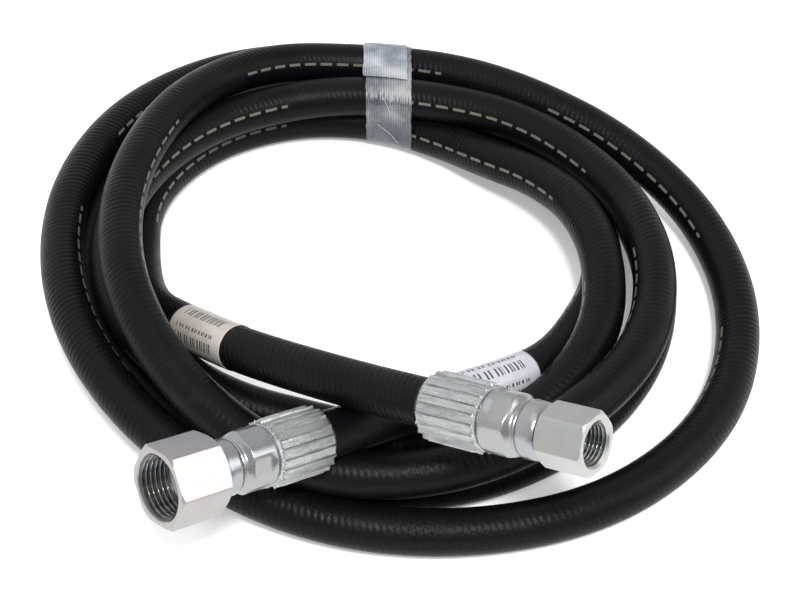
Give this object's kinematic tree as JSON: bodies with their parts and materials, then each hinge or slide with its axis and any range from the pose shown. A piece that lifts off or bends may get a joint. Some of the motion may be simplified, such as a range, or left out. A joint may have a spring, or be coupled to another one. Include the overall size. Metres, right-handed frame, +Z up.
{
  "type": "hydraulic hose assembly",
  "caption": "Coiled black rubber hydraulic hose with a crimped ferrule and a hexagon swivel nut at each end.",
  "frame": {"origin": "centre of the whole part's footprint, on the surface it lies on", "axes": "+Z up; +X to the right and -Y towards the viewer, on whose side both fittings lie"},
  "size_m": [0.292, 0.317, 0.0917],
  "materials": {
    "hose_cover": "smooth semi-gloss rubber with faint wrap marks",
    "inner_tube_rubber": "matte",
    "braid_wire": "brass-coated wire",
    "zinc_plated_shell": "zinc plated, crimped",
    "zinc_plated_steel": "zinc plated, satin",
    "zinc_plated_nut": "zinc plated, machined",
    "spring_wire": "drawn wire",
    "filament_tape": "clear tape with glass filaments",
    "paper_label": "white wrap-around label under clear film"
  },
  "bodies": {
    "hose": {"hose_coil": "hose_cover", "hose_run_large": "hose_cover", "hose_run_small": "hose_cover", "bundling_tape": "filament_tape", "label_large": "paper_label", "label_small": "paper_label", "liner_end_large": "inner_tube_rubber", "braid_end_large": "braid_wire", "cover_end_large": "hose_cover", "ferrule_large": "zinc_plated_shell", "nipple_large": "zinc_plated_steel", "thrust_wire_large": "spring_wire", "liner_end_small": "inner_tube_rubber", "braid_end_small": "braid_wire", "cover_end_small": "hose_cover", "ferrule_small": "zinc_plated_shell", "nipple_small": "zinc_plated_steel", "thrust_wire_small": "spring_wire"},
    "nut_large": {"swivel_nut_large": "zinc_plated_nut"},
    "nut_small": {"swivel_nut_small": "zinc_plated_nut"}
  },
  "joints": [
    {"name": "spin_large", "type": "hinge", "parent": "hose", "child": "nut_large", "pos_m": [-0.06082, -0.13648, 0.05651], "axis": [-0.7342, -0.5934, 0.33], "continuous": true},
    {"name": "spin_small", "type": "hinge", "parent": "hose", "child": "nut_small", "pos_m": [0.04798, -0.1372, 0.07676], "axis": [0.7879, -0.5326, 0.3091], "continuous": true}
  ]
}
